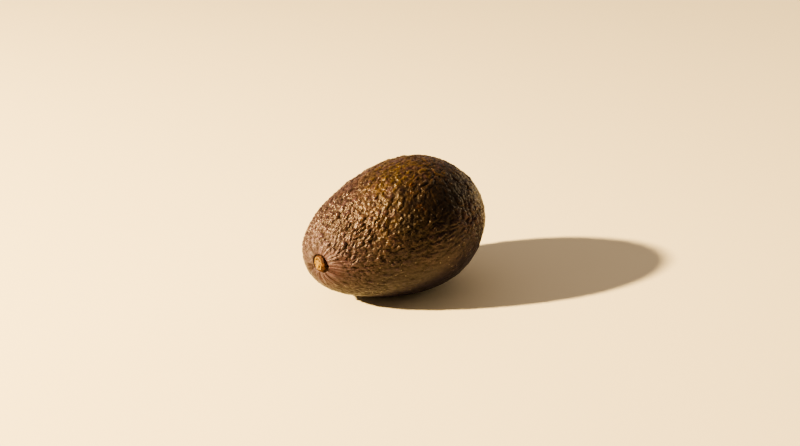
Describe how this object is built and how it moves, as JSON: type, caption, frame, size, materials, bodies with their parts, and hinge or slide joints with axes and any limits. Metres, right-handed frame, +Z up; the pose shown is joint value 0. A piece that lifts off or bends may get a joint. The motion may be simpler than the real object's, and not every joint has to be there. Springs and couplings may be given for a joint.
{
  "type": "avocado",
  "caption": "Whole ripe avocado with dark pebbled skin and a dry corky stem button, lying on its side on a small flat spot.",
  "frame": {"origin": "on the surface it lies on, at the middle of its box, beside the middle of the flat spot", "axes": "+X along the fruit's length from the stem end to the fat blossom end, +Z up, -Y the side that the stem is turned to"},
  "size_m": [0.0988, 0.071, 0.0713],
  "materials": {
    "skin": "pebbled purple-brown to near-black avocado skin with olive patches, waxy semi-gloss",
    "stem": "dry corky tan stem end with a dark crusty flank, matt"
  },
  "bodies": {
    "root": {"fruit": "skin", "stem_button": "stem"}
  },
  "joints": []
}
